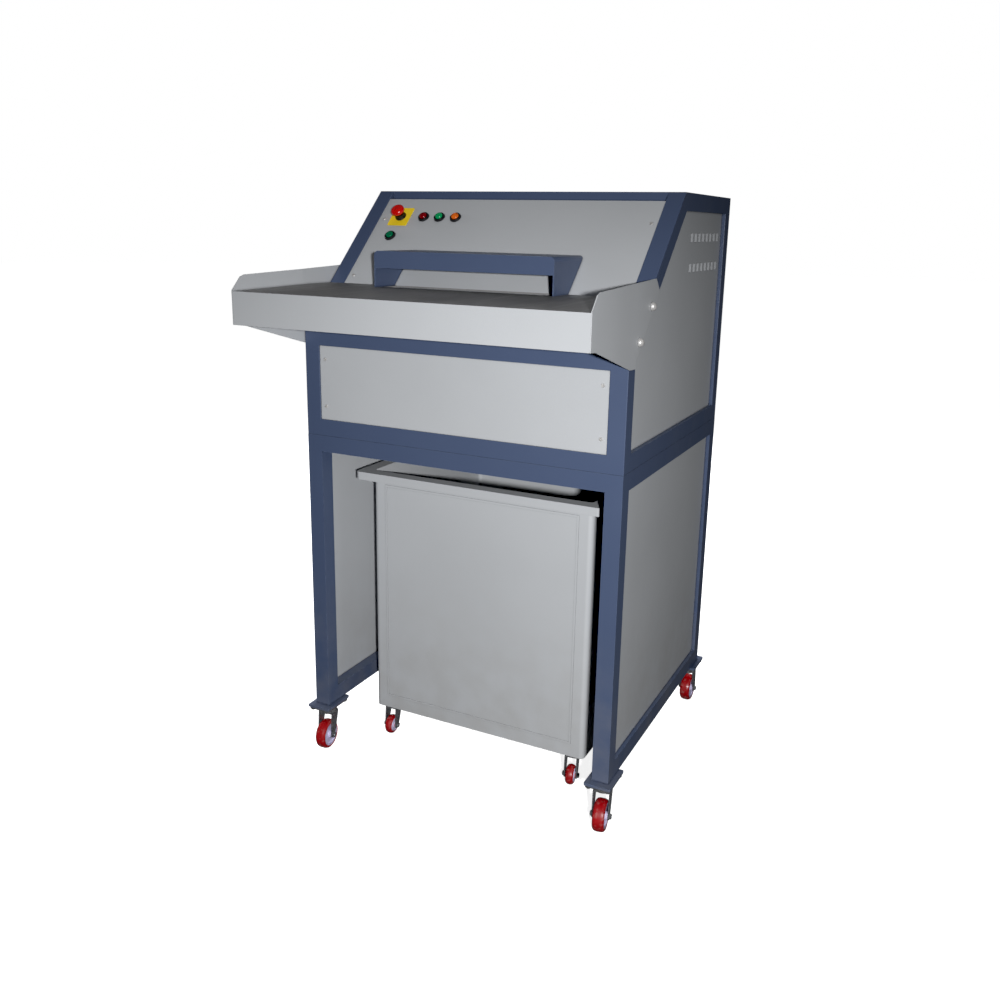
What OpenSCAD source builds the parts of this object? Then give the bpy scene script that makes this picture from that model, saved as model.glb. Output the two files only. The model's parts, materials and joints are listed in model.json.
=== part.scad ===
// Floor-standing industrial paper shredder: a tube frame in two stacked halves,
// sheet panels, a feed tray with a guard hood, a cutter block with its drive,
// and a wheeled waste bin that rolls out of the stand.
// Millimetres. Z is up from the floor, X is the width, the feed tray faces -Y.
// The origin is on the floor, under the centre of the whole machine.

/* [Frame] */
// Width over the corner posts
frame_w = 810; // [790:5:840]
// Depth over the corner posts
frame_d = 740; // [730:5:780]
// Outer size of the square steel tube
tube = 40; // [38:1:42]
// Wall of the square tube
tube_wall = 2; // [1.5:0.5:3]
// Height of the joint between the stand and the machine frame
split_z = 845; // [835:5:860]
// Height of the rail under the feed tray
sill_z = 1102; // [1095:1:1110]
// Overall height
top_z = 1425; // [1410:5:1440]
// How far back the sloped front goes
slope_run = 330; // [325:1:335]

/* [Panels] */
// Thickness of the sheet metal
sheet = 2; // [1.5:0.5:2.5]
// How far the side and back panels are set in from the tube faces
panel_inset = 10; // [6:1:14]
// Number of pressed louvres in one row
louvre_count = 8; // [5:1:8]
// Distance from one louvre to the next
louvre_pitch = 33; // [28:1:33]

/* [Feed tray] */
// Height of the tray floor
tray_z = 1203; // [1200:1:1206]
// How far the tray reaches in front of the posts
tray_reach = 226; // [200:2:250]
// How much lower the tray floor is at its front edge
tray_fall = 6; // [0:1:10]
// Height of the tray's front face
tray_face_h = 72; // [60:2:80]
// Height of the side cheeks above the back of the tray floor
cheek_rise = 40; // [30:2:50]
// How much lower the cheeks are at their front end
cheek_fall = 12; // [0:1:20]
// How far the left cheek is splayed out at its front end
splay_left = 14; // [0:1:20]
// How far the right cheek is splayed out at its front end
splay_right = 2; // [0:1:20]
// Width of the guard hood
hood_w = 446; // [440:2:460]
// Height of the hood's top above the tray floor
hood_h = 81; // [75:1:90]
// Clear height under the hood's front bar
hood_gap = 43; // [35:1:48]

/* [Waste bin] */
// Width of the bin body
bin_w = 594; // [560:2:600]
// Distance from the post faces back to the bin's front
bin_set_back = 120; // [110:2:130]
// Depth of the bin body
bin_d = 570; // [500:5:570]
// Height of the bin's floor
bin_floor_z = 94; // [90:1:100]
// Height of the bin's rim
bin_rim_z = 741; // [700:1:745]
// Width of the folded rim
bin_rim_w = 33; // [20:1:34]

/* [Casters] */
// Wheel diameter of the stand's casters
wheel_d = 75; // [70:1:80]
// Wheel diameter of the bin's casters
bin_wheel_d = 50; // [46:1:54]
// Swivel angle at rest of the stand's front left caster
swivel_fl = 6; // [-30:1:30]
// Swivel angle at rest of the stand's front right caster
swivel_fr = 9; // [-30:1:30]
// Swivel angle at rest of the bin's front left caster
bin_swivel_fl = 3; // [-30:1:30]
// Swivel angle at rest of the bin's front right caster
bin_swivel_fr = 10; // [-30:1:30]

/* [Cutters] */
// Diameter of the cutting discs
disc_d = 90; // [88:1:91]
// Distance from one disc to the next on a shaft
disc_pitch = 12; // [12:1:14]
// Teeth on each timing gear
gear_teeth = 20; // [20:1:20]

/* [Hidden] */
$fn = 64;
eps = 0.01;

// Colours
frame_blue = "#4a587c";
panel_grey = "#b8bbbf";
deck_grey = "#45484b";
steel = "#9a9da1";
zinc = "#c3c6c8";
cast_grey = "#6c7075";

// Frame
half_w = frame_w / 2;
inner_w = frame_w - 2 * tube;
foot_w = 64;
foot_l = 92;
foot_t = 6;
foot_overhang = 20;
caster_h = 121;
foot_top = caster_h + foot_t;
caster_trail = 15;
pivot_in_x = tube / 2;
pivot_in_y = foot_l / 2 - foot_overhang;
wheel_r = wheel_d / 2;
// The tray front and the rear wheels are the two ends of the machine
machine_front = -tray_reach;
machine_back = frame_d - pivot_in_y + caster_trail + wheel_r;
front_y = -(machine_front + machine_back) / 2;
back_y = front_y + frame_d;
pivot_x = half_w - pivot_in_x;
front_pivot_y = front_y + pivot_in_y;
back_pivot_y = back_y - pivot_in_y;
bearer_front = 45;
bearer_back = 295;
slope_rise = top_z - sill_z;
slope_len = sqrt(slope_run * slope_run + slope_rise * slope_rise);
slope_angle = atan2(slope_rise, slope_run);

// Panels
panel_x = half_w - panel_inset;
panel_back = frame_d - panel_inset;
front_panel_inset = 3;
control_inset = 2;
control_bottom = 142;
control_top = 435;
screw_r = 2;
screw_head_r = 4.5;
tab = 26;
tab_t = 3;
louvre_w = 8;
louvre_h = 19;
louvre_rise = 3;
louvre_start = 425;
louvre_rows = [1316, 1246];

// Tray and hood
cheek_t = 2;
cheek_z = tray_z + cheek_rise;
slot_w = 420;
slot_front = 45;
slot_back = 98;
hood_front = 25;
hood_t = 2.5;
hood_round = 10;
hood_x = hood_w / 2;
bolt_along = [47, 145];
bolt_in = 24;
bolt_r = 4;
bolt_head_r = 8;
bolt_head_h = 4.5;

// Cutter block
block_x = 222;
plate_t = 12;
block_top = 1075;
nip_y = 190;
shaft_gap = 80;
shaft_z = 985;
front_shaft_y = nip_y - shaft_gap / 2;
rear_shaft_y = nip_y + shaft_gap / 2;
journal_r = 18;
run_gap = 0.05;
bearing_r = 34;
disc_r = disc_d / 2;
spacer_r = 33;
disc_t = disc_pitch * 0.45;
disc_span = 408;
disc_count = floor(disc_span / disc_pitch) + 1;
gear_w = 20;
gear_x = -block_x - plate_t - 4 - gear_w;
gear_module = shaft_gap / gear_teeth;
tie_r = 9;
tie_places = [[68, 903], [312, 903], [68, 985], [312, 985]];
chute_bottom = 765;

// Drive
gearbox_x = block_x + plate_t;
gearbox_w = 138;
gearbox_y = 150;
gearbox_l = 140;
gearbox_h = 140;
motor_r = 68;
motor_l = 235;
motor_x = gearbox_x + gearbox_w / 2;

// Controls on the sloped panel, along the slope from the sill
control_row = 372;
button_row = 306;
estop_x = -304;
button_x = -306;
lamp_x = [-238, -193, -148];
barrel_r = 11;
bezel_r = 14.5;
bezel_h = 5;
estop_travel = 5;
button_travel = 3;

// Bin
bin_x = bin_w / 2;
bin_front = bin_set_back;
bin_back = bin_front + bin_d;
bin_lip = 20;
bin_corner = 12;
field_margin = 34;
field_rise = 1.5;

// Casters
plate_thick = 5;
tread_w = 28;
bin_tread_w = 20;
bin_trail = 16;
axle_r = 4;
leg_t = 3;
race_gap = 0.3;
pin_r = 5;
fork_top = 100;
bin_fork_top = 76;
// Rear casters trail behind the machine, front ones in front of it
swivel_back = 180;
// The bin's casters stand closer to its left wall than to its right one
bin_pivot_left = 24 - bin_x;
bin_pivot_right = bin_x - 46;
bin_pivot_front = front_y + bin_front + 49;
bin_pivot_back = front_y + bin_back - 46;

// ---- shared shapes ----

// A rectangle with round corners, centred
module round_rect(w, l, r) {
    square([w - 2 * r, l], center = true);
    square([w, l - 2 * r], center = true);
    for (sx = [-1, 1], sy = [-1, 1])
        translate([sx * (w / 2 - r), sy * (l / 2 - r)])
            circle(r);
}

// A box between two corners; Y is counted back from the posts' front faces
module span(lo, hi) {
    translate([lo[0], front_y + lo[1], lo[2]])
        cube([hi[0] - lo[0], hi[1] - lo[1], hi[2] - lo[2]]);
}

// An outline drawn in depth and height, made solid from x0 to x1
module side_profile(x0, x1, points) {
    translate([x0, front_y, 0])
        rotate([90, 0, 90])
            linear_extrude(x1 - x0)
                polygon(points);
}

// A point on the slope: `along` up the slope from the sill, `deep` below its outer face
function slope_point(along, deep) = [
    (along * slope_run + deep * slope_rise) / slope_len,
    sill_z + (along * slope_rise - deep * slope_run) / slope_len,
];

// Where the slope, `deep` below its outer face, reaches a depth or a height
function slope_z_at(y, deep) =
    sill_z + (y - deep * slope_len / slope_rise) * slope_rise / slope_run;
function slope_y_at(z, deep) =
    (z - sill_z) * slope_run / slope_rise + deep * slope_len / slope_rise;

// Children are drawn flat, with Y up the slope and Z out of it, and laid on the slope
module on_slope(x, along, deep = 0) {
    p = slope_point(along, deep);
    translate([x, front_y + p[0], p[1]])
        rotate([slope_angle, 0, 0])
            children();
}

module both_sides() {
    children();
    mirror([1, 0, 0])
        children();
}

// ---- frames ----

// The tubes of the machine frame; `in` shrinks each one to its bore
module machine_tubes(in) {
    x0 = half_w - tube + in;
    x1 = half_w - in;
    b0 = split_z + in;
    b1 = split_z + tube - in;
    t0 = top_z - tube + in;
    t1 = top_z - in;
    both_sides() {
        // Bottom and top side rails
        span([x0, in, b0], [x1, frame_d - in, b1]);
        span([x0, slope_run + in + tube / 2, t0], [x1, frame_d - in, t1]);
        // Posts, open at the bottom
        span([x0, in, split_z - in], [x1, tube - in, sill_z - tube / 2]);
        span([x0, frame_d - tube + in, split_z - in], [x1, frame_d - in, t1]);
        // Sloped bar with its foot on the front post
        side_profile(x0, x1, [
            [in, sill_z - tube],
            [in, slope_z_at(in, in)],
            [slope_y_at(t1, in), t1],
            [slope_y_at(t1, tube - in), t1],
            [tube - in, slope_z_at(tube - in, tube - in)],
            [tube - in, sill_z - tube],
        ]);
    }
    // Front and back rails
    span([-x1, in, b0], [x1, tube - in, b1]);
    span([-x1, frame_d - tube + in, b0], [x1, frame_d - in, b1]);
    span([-x1, in, sill_z - tube + in], [x1, tube - in, sill_z - in]);
    span([-x1, slope_run + in, t0], [x1, slope_run + tube - in, t1]);
    span([-x1, frame_d - tube + in, t0], [x1, frame_d - in, t1]);
    // Bearers under the cutter block
    span([-x1, bearer_front + in, b0], [x1, bearer_front + tube - in, b1]);
    span([-x1, bearer_back + in, b0], [x1, bearer_back + tube - in, b1]);
}

// Welded tabs that the screwed panels sit on
module panel_tabs() {
    x_edge = inner_w / 2;
    for (sx = [-1, 1], z = front_screw_z)
        span([min(sx * x_edge, sx * (x_edge - tab)), front_panel_inset + sheet, z - tab / 2],
             [max(sx * x_edge, sx * (x_edge - tab)), front_panel_inset + sheet + tab_t, z + tab / 2]);
    for (sx = [-1, 1], z = back_screw_z)
        span([min(sx * x_edge, sx * (x_edge - tab)), panel_back - sheet - tab_t, z - tab / 2],
             [max(sx * x_edge, sx * (x_edge - tab)), panel_back - sheet, z + tab / 2]);
    for (sx = [-1, 1], along = control_screw_along)
        on_slope(sx * (x_edge - tab / 2), along, control_inset + sheet + tab_t)
            translate([-tab / 2, -tab / 2, 0])
                cube([tab, tab, tab_t]);
}

screw_in = 15;
front_screw_z = [split_z + tube + 32, sill_z - tube - 32];
back_screw_z = [split_z + tube + 40, (split_z + top_z) / 2, top_z - tube - 40];
control_screw_along = [172, 364];

// Places every panel screw, its axis along Z with the head outside
module at_panel_screws() {
    x = inner_w / 2 - screw_in;
    for (sx = [-1, 1], z = front_screw_z)
        translate([sx * x, front_y + front_panel_inset, z])
            rotate([90, 0, 0])
                children();
    for (sx = [-1, 1], z = back_screw_z)
        translate([sx * x, front_y + panel_back, z])
            rotate([-90, 0, 0])
                children();
    for (sx = [-1, 1], along = control_screw_along)
        on_slope(sx * x, along, control_inset)
            children();
}

module screw_holes() {
    at_panel_screws()
        translate([0, 0, -15])
            cylinder(r = screw_r, h = 20);
}

// Places the cheek bolts, their axes along Z with the heads outside
module at_cheek_bolts() {
    both_sides()
        for (along = bolt_along) {
            p = slope_point(along, bolt_in);
            translate([half_w + cheek_t, front_y + p[0], p[1]])
                rotate([0, 90, 0])
                    children();
        }
}

module machine_frame() {
    color(frame_blue)
        difference() {
            union() {
                difference() {
                    machine_tubes(0);
                    machine_tubes(tube_wall);
                }
                panel_tabs();
            }
            screw_holes();
            at_cheek_bolts()
                translate([0, 0, -cheek_t - tube_wall - 1])
                    cylinder(r = bolt_r, h = cheek_t + tube_wall + 2);
        }
}

module stand_tubes(in) {
    x0 = half_w - tube + in;
    x1 = half_w - in;
    r0 = split_z - tube + in;
    r1 = split_z - in;
    l0 = foot_top + in;
    l1 = foot_top + tube - in;
    both_sides() {
        // Posts, closed at the bottom by the foot plates
        span([x0, in, foot_top + in], [x1, tube - in, split_z + in]);
        span([x0, frame_d - tube + in, foot_top + in], [x1, frame_d - in, split_z + in]);
        // Side rails, top and bottom
        span([x0, in, r0], [x1, frame_d - in, r1]);
        span([x0, in, l0], [x1, frame_d - in, l1]);
    }
    span([-x1, in, r0], [x1, tube - in, r1]);
    span([-x1, frame_d - tube + in, r0], [x1, frame_d - in, r1]);
    span([-x1, frame_d - tube + in, l0], [x1, frame_d - in, l1]);
}

// Places the four stand casters' swivel axes at floor level
module at_stand_pivots() {
    for (sx = [-1, 1], y = [front_pivot_y, back_pivot_y])
        translate([sx * pivot_x, y, 0])
            children();
}

module stand_frame() {
    color(frame_blue) {
        difference() {
            union() {
                stand_tubes(0);
                at_stand_pivots()
                    translate([0, 0, caster_h])
                        linear_extrude(foot_t)
                            round_rect(foot_w, foot_l, 3);
            }
            stand_tubes(tube_wall);
        }
    }
}

// ---- panels ----

module front_panel() {
    color(panel_grey)
        difference() {
            span([-inner_w / 2, front_panel_inset, split_z + tube],
                 [inner_w / 2, front_panel_inset + sheet, sill_z - tube]);
            screw_holes();
        }
}

// The sloped sheet, its top edge folded back to the top rail
module control_panel() {
    fold = slope_point(control_top, control_inset);
    fold_z = fold[1] - sheet;
    color(panel_grey)
        difference() {
            union() {
                on_slope(0, control_bottom, control_inset + sheet)
                    translate([-inner_w / 2, 0, 0])
                        cube([inner_w, control_top - control_bottom, sheet]);
                span([-inner_w / 2, fold[0], fold_z], [inner_w / 2, slope_run, fold_z + sheet]);
            }
            screw_holes();
            at_barrels()
                translate([0, 0, -10])
                    cylinder(r = barrel_r, h = 20);
        }
}

// Side opening of the machine frame, in depth and height
side_outline = [
    [tube, split_z + tube],
    [frame_d - tube, split_z + tube],
    [frame_d - tube, top_z - tube],
    [slope_y_at(top_z - tube, tube), top_z - tube],
    [tube, slope_z_at(tube, tube)],
];

// A pressed louvre: a wedge that rises towards the back, hollow and open behind
module louvre(y, z) {
    wall = 1;
    points_out = [[0, 0], [louvre_w, louvre_rise], [louvre_w, 0]];
    points_in = [[3 * wall, 0], [louvre_w + wall, louvre_rise - wall], [louvre_w + wall, -wall], [3 * wall, -wall]];
    translate([0, front_y + y, z])
        difference() {
            linear_extrude(louvre_h)
                polygon([for (p = points_out) [p[1], p[0]]]);
            translate([0, 0, wall])
                linear_extrude(louvre_h - 2 * wall)
                    polygon([for (p = points_in) [p[1], p[0]]]);
        }
}

module side_sheet(louvred) {
    difference() {
        union() {
            side_profile(panel_x - sheet, panel_x, side_outline);
            if (louvred)
                for (z = louvre_rows, i = [0 : louvre_count - 1])
                    translate([panel_x, 0, 0])
                        louvre(louvre_start + i * louvre_pitch, z);
        }
        if (louvred)
            for (z = louvre_rows, i = [0 : louvre_count - 1])
                span([panel_x - sheet - 1, louvre_start + i * louvre_pitch + 4, z + 2],
                     [panel_x + 0.5, louvre_start + i * louvre_pitch + louvre_w, z + louvre_h - 2]);
    }
}

module right_side_panel() {
    color(panel_grey)
        side_sheet(true);
}

module left_side_panel() {
    color(panel_grey)
        mirror([1, 0, 0])
            side_sheet(true);
}

module back_panel() {
    color(panel_grey)
        difference() {
            span([-inner_w / 2, panel_back - sheet, split_z + tube],
                 [inner_w / 2, panel_back, top_z - tube]);
            screw_holes();
            at_gland()
                translate([0, 0, -15])
                    cylinder(r = gland_r, h = 30);
        }
}

module top_cover() {
    color(panel_grey)
        span([-inner_w / 2, slope_run + tube, top_z - 5 - sheet],
             [inner_w / 2, frame_d - tube, top_z - 5]);
}

module stand_side_sheet() {
    span([panel_x - sheet, tube, foot_top + tube], [panel_x, frame_d - tube, split_z - tube]);
}

module stand_right_panel() {
    color(panel_grey)
        stand_side_sheet();
}

module stand_left_panel() {
    color(panel_grey)
        mirror([1, 0, 0])
            stand_side_sheet();
}

module stand_back_panel() {
    color(panel_grey)
        span([-inner_w / 2, panel_back - sheet, foot_top + tube],
             [inner_w / 2, panel_back, split_z - tube]);
}

// Pan-head screws with a cross recess
module panel_screws() {
    head_h = 2.4;
    color(steel)
        at_panel_screws()
            difference() {
                union() {
                    translate([0, 0, -9])
                        cylinder(r = screw_r, h = 9 + eps);
                    cylinder(r1 = screw_head_r, r2 = screw_head_r - 1.2, h = head_h);
                }
                for (a = [0, 90])
                    rotate(a)
                        translate([-2.5, -0.5, head_h - 1])
                            cube([5, 1, 2]);
            }
}

// ---- feed tray ----

// The tray in plan, shrunk in width by `in`: wider at the front, where the cheeks splay out
module tray_plan(in) {
    back = tray_reach;
    translate([0, front_y, sill_z - tube])
        linear_extrude(tray_z - sill_z + 2 * tube)
            polygon([
                [-half_w - splay_left + in, -tray_reach],
                [half_w + splay_right - in, -tray_reach],
                [half_w - in, 0],
                [half_w - in, back],
                [-half_w + in, back],
                [-half_w + in, 0],
            ]);
}

// A sheet `deep` below the tray's surface, level under the hood and falling in front of it
module tray_layer(back, deep, thick) {
    wide = half_w + max(splay_left, splay_right) + 1;
    front = -tray_reach + sheet;
    level = hood_front - 5;
    front_z = tray_z - tray_fall;
    side_profile(-wide, wide, [
        [front, front_z - deep],
        [level, tray_z - deep],
        [back, tray_z - deep],
        [back, tray_z - deep - thick],
        [level, tray_z - deep - thick],
        [front, front_z - deep - thick],
    ]);
}

// The tray floor with its side flanges and the feed slot
module tray_deck() {
    back_wide = slope_y_at(tray_z - sheet, 0);
    back_mid = slope_y_at(tray_z - sheet, control_inset);
    flange = 20;
    color(deck_grey)
        difference() {
            union() {
                intersection() {
                    tray_layer(back_wide, 0, sheet);
                    tray_plan(0);
                }
                span([-inner_w / 2, back_wide - 5, tray_z - sheet], [inner_w / 2, back_mid, tray_z]);
                intersection() {
                    tray_layer(60, sheet / 2, flange);
                    difference() {
                        tray_plan(0);
                        tray_plan(sheet);
                    }
                }
            }
            span([-slot_w / 2, slot_front, tray_z - 2 * sheet], [slot_w / 2, slot_back, tray_z + 1]);
        }
}

// The tray's front face, folded back under it to lie on the rail between the sloped bars
module tray_front() {
    high = tray_z - tray_fall;
    low = high - tray_face_h;
    wide = half_w + max(splay_left, splay_right) + 1;
    color(panel_grey)
        union() {
            intersection() {
                side_profile(-wide, wide, [
                    [-tray_reach, high],
                    [-tray_reach, low],
                    [0, sill_z],
                    [0, sill_z + sheet],
                    [-tray_reach + sheet, low + sheet],
                    [-tray_reach + sheet, high],
                ]);
                tray_plan(0);
            }
            span([-inner_w / 2, -eps, sill_z], [inner_w / 2, tube / 2, sill_z + sheet]);
        }
}

// A side cheek: flat against the sloped bar, and bent outwards in front of the post
module cheek(splay) {
    clip = 32;
    skirt = 42;
    front_z = cheek_z - cheek_fall;
    low = tray_z - tray_fall - tray_face_h;
    post_low = sill_z - tube + 4;
    corner = -tray_reach + clip + 6;
    end_top = slope_point(slope_len * (cheek_z - sill_z) / slope_rise, 0);
    end_low = [end_top[0] + skirt * slope_rise / slope_len, end_top[1] - skirt * slope_run / slope_len];
    bend_z = front_z + (cheek_z - front_z) * -corner / (end_top[0] - corner);
    difference() {
        union() {
            side_profile(half_w, half_w + cheek_t, [
                [0, bend_z],
                end_top,
                end_low,
                [tube, slope_z_at(tube, skirt)],
                [tube, post_low - 2],
                [0, post_low],
            ]);
            translate([half_w, front_y, 0])
                rotate(atan2(splay, tray_reach))
                    rotate([90, 0, 90])
                        linear_extrude(cheek_t)
                            polygon([
                                [0, post_low],
                                [-tray_reach + 23, low - 1],
                                [-tray_reach, low],
                                [-tray_reach, front_z - clip],
                                [-tray_reach + clip * 0.8, front_z - 4],
                                [corner, front_z],
                                [0, bend_z],
                            ]);
        }
        at_cheek_bolts()
            translate([0, 0, -cheek_t - 1])
                cylinder(r = bolt_r, h = cheek_t + 2);
    }
}

module tray_right_cheek() {
    color(panel_grey)
        cheek(splay_right);
}

module tray_left_cheek() {
    color(panel_grey)
        mirror([1, 0, 0])
            cheek(splay_left);
}

// Domed bolts that hold the cheeks to the sloped bars, with nuts inside the tube wall
module cheek_bolts() {
    dome_r = 9.4;
    color(zinc)
        at_cheek_bolts() {
            translate([0, 0, -cheek_t - tube_wall - 6])
                cylinder(r = bolt_r, h = cheek_t + tube_wall + 6 + eps);
            intersection() {
                cylinder(r = bolt_head_r, h = bolt_head_h);
                translate([0, 0, bolt_head_h - dome_r])
                    sphere(dome_r);
            }
            translate([0, 0, -cheek_t - tube_wall - 5])
                cylinder(r = 7, h = 5, $fn = 6);
        }
}

// The guard over the feed slot: two cheeks, a top and a front bar
module feed_hood() {
    hood_z = tray_z + hood_h;
    bar_z = tray_z + hood_gap;
    back_low = slope_y_at(tray_z, control_inset);
    back_high = slope_y_at(hood_z, control_inset);
    color(frame_blue)
        union() {
            intersection() {
                translate([0, front_y, 0])
                    rotate([90, 0, 180])
                        linear_extrude(back_high + 1)
                            difference() {
                                hood_outline(0);
                                hood_outline(hood_t);
                            }
                side_profile(-hood_x - 1, hood_x + 1, [
                    [hood_front, tray_z],
                    [hood_front, hood_z],
                    [back_high, hood_z],
                    [back_low, tray_z],
                ]);
            }
            translate([0, front_y + hood_front + hood_t, 0])
                rotate([90, 0, 0])
                    linear_extrude(hood_t)
                        intersection() {
                            hood_outline(0);
                            translate([-hood_x, bar_z])
                                square([hood_w, hood_h]);
                        }
            // Rolled lower edge of the front bar
            translate([-hood_x + hood_t, front_y + hood_front + hood_t, bar_z + hood_t])
                rotate([0, 90, 0])
                    cylinder(r = hood_t, h = hood_w - 2 * hood_t);
        }
}

// Cross-section of the hood in width and height, shrunk by `in`
module hood_outline(in) {
    r = hood_round - in;
    top = tray_z + hood_h - in;
    side = hood_x - in;
    low = tray_z - in;
    translate([-side, low])
        square([2 * side, top - r - low]);
    translate([-side + r, low])
        square([2 * (side - r), top - low]);
    for (sx = [-1, 1])
        translate([sx * (side - r), top - r])
            circle(r);
}

// The funnel from the feed slot down to the cutters
module feed_throat() {
    top = tray_z - sheet;
    low = block_top;
    wall = sheet;
    rear_top = top - 6;
    color(steel)
        difference() {
            side_profile(-slot_w / 2 - wall, slot_w / 2 + wall, [
                [slot_front - wall, top],
                [slot_back - 2, top],
                [slot_back + wall, rear_top],
                [250 + wall, low],
                [130 - wall, low],
            ]);
            side_profile(-slot_w / 2, slot_w / 2, [
                [slot_front, top + 1],
                [slot_front, top],
                [130, low],
                [130, low - 1],
                [250, low - 1],
                [250, low],
                [slot_back, rear_top],
                [slot_back, top + 1],
            ]);
        }
}

// ---- cutter block ----

module shaft_place(y) {
    translate([0, front_y + y, shaft_z])
        rotate([0, 90, 0])
            children();
}

// The welded block: two side plates and four tie bars
module cutter_frame() {
    outline = [
        [50, split_z + tube],
        [330, split_z + tube],
        [330, block_top - 70],
        [290, block_top],
        [90, block_top],
        [50, block_top - 70],
    ];
    color(cast_grey)
        union() {
            both_sides()
                difference() {
                    side_profile(block_x, block_x + plate_t, outline);
                    for (y = [front_shaft_y, rear_shaft_y])
                        shaft_place(y)
                            translate([0, 0, block_x - 1])
                                cylinder(r = bearing_r, h = plate_t + 2);
                }
            for (p = tie_places)
                translate([-block_x - 1, front_y + p[0], p[1]])
                    rotate([0, 90, 0])
                        cylinder(r = tie_r, h = 2 * block_x + 2);
        }
}

module cutter_bearings() {
    color(steel)
        both_sides()
            for (y = [front_shaft_y, rear_shaft_y])
                shaft_place(y)
                    translate([0, 0, block_x])
                        difference() {
                            cylinder(r = bearing_r, h = plate_t);
                            translate([0, 0, -1])
                                cylinder(r = journal_r + run_gap, h = plate_t + 2);
                        }
}

// Half outline of a shaft with its discs: along the shaft, and out from its axis
function disc_steps(first) = [
    for (i = [0 : disc_count - 1])
        let (x = first + i * disc_pitch)
            each [
                [spacer_r, x - disc_t / 2],
                [disc_r, x - disc_t / 2],
                [disc_r, x + disc_t / 2],
                [spacer_r, x + disc_t / 2],
            ],
];

module cutter_shaft(first, right_end) {
    core = block_x - 6;
    rotate_extrude()
        polygon(concat(
            [[0, gear_x - 2], [journal_r, gear_x - 2], [journal_r, -core], [spacer_r, -core]],
            disc_steps(first),
            [[spacer_r, core], [journal_r, core], [journal_r, right_end], [0, right_end]]
        ));
}

module front_cutter_shaft() {
    color(steel)
        shaft_place(front_shaft_y)
            cutter_shaft(-disc_span / 2 - disc_pitch / 4, block_x + plate_t - 2);
}

module rear_cutter_shaft() {
    color(steel)
        shaft_place(rear_shaft_y)
            cutter_shaft(-disc_span / 2 + disc_pitch / 4, gearbox_x + 56);
}

// Spur gear outline with involute flanks and running backlash
module gear_outline(teeth, mod, bore) {
    pressure = 20;
    pitch_r = teeth * mod / 2;
    base_r = pitch_r * cos(pressure);
    tip_r = pitch_r + 0.92 * mod;
    root_r = pitch_r - 1.25 * mod;
    steps = 4;
    backlash = 0.06;
    half = 90 / teeth * (1 - backlash);
    function involute(a) = tan(a) * 180 / PI - a;
    function flank(r) = half + involute(pressure) - involute(acos(base_r / r));
    radii = [for (i = [0 : steps]) base_r + (tip_r - base_r) * i / steps];
    root_half = half + involute(pressure);
    difference() {
        polygon([
            for (t = [0 : teeth - 1])
                let (mid = t * 360 / teeth)
                    each concat(
                        [[root_r * cos(mid - root_half), root_r * sin(mid - root_half)]],
                        [for (r = radii) [r * cos(mid - flank(r)), r * sin(mid - flank(r))]],
                        [for (i = [steps : -1 : 0])
                            let (r = radii[i])
                                [r * cos(mid + flank(r)), r * sin(mid + flank(r))]],
                        [[root_r * cos(mid + root_half), root_r * sin(mid + root_half)]]
                    )
        ]);
        circle(bore);
    }
}

module timing_gear(y, turn) {
    color(cast_grey)
        shaft_place(y)
            translate([0, 0, gear_x])
                rotate(turn)
                    linear_extrude(gear_w)
                        gear_outline(gear_teeth, gear_module, journal_r);
}

// A tooth of the front gear points at the rear shaft
module front_timing_gear() {
    timing_gear(front_shaft_y, 90);
}

// A gap of the rear gear points at the front shaft
module rear_timing_gear() {
    timing_gear(rear_shaft_y, 90 + 180 / gear_teeth);
}

// Fingers that reach between the discs and peel the strips off
module stripper_combs() {
    finger_t = disc_pitch - disc_t - 1;
    finger_h = 50;
    bar_t = 8;
    color(steel)
        for (side = [-1, 1]) {
            shaft_y = nip_y + side * shaft_gap / 2;
            tip = shaft_y + side * (spacer_r + 1);
            root = shaft_y + side * (disc_r + 5);
            first = -disc_span / 2 + side * disc_pitch / 4 + disc_pitch / 2;
            span([-block_x, min(root, root + side * bar_t), shaft_z - finger_h / 2],
                 [block_x, max(root, root + side * bar_t), shaft_z + finger_h / 2]);
            for (i = [0 : disc_count - 2])
                span([first + i * disc_pitch - finger_t / 2, min(tip, root), shaft_z - finger_h / 2],
                     [first + i * disc_pitch + finger_t / 2, max(tip, root) + eps, shaft_z + finger_h / 2]);
        }
}

// The sheet chute from the cutters down into the bin
module discharge_chute() {
    x = block_x;
    front_top = bearer_front + tube;
    back_top = bearer_back;
    low_front = 150;
    low_back = 350;
    top = split_z + tube;
    knee = split_z - 2;
    color(panel_grey)
        difference() {
            side_profile(-x, x, [
                [front_top, top],
                [front_top, knee],
                [low_front, chute_bottom],
                [low_back, chute_bottom],
                [back_top, knee],
                [back_top, top],
            ]);
            side_profile(-x + sheet, x - sheet, [
                [front_top + sheet, top + 1],
                [front_top + sheet, knee],
                [low_front + sheet, chute_bottom],
                [low_front + sheet, chute_bottom - 1],
                [low_back - sheet, chute_bottom - 1],
                [low_back - sheet, chute_bottom],
                [back_top - sheet, knee],
                [back_top - sheet, top + 1],
            ]);
        }
}

// ---- drive and electrics ----

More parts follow.
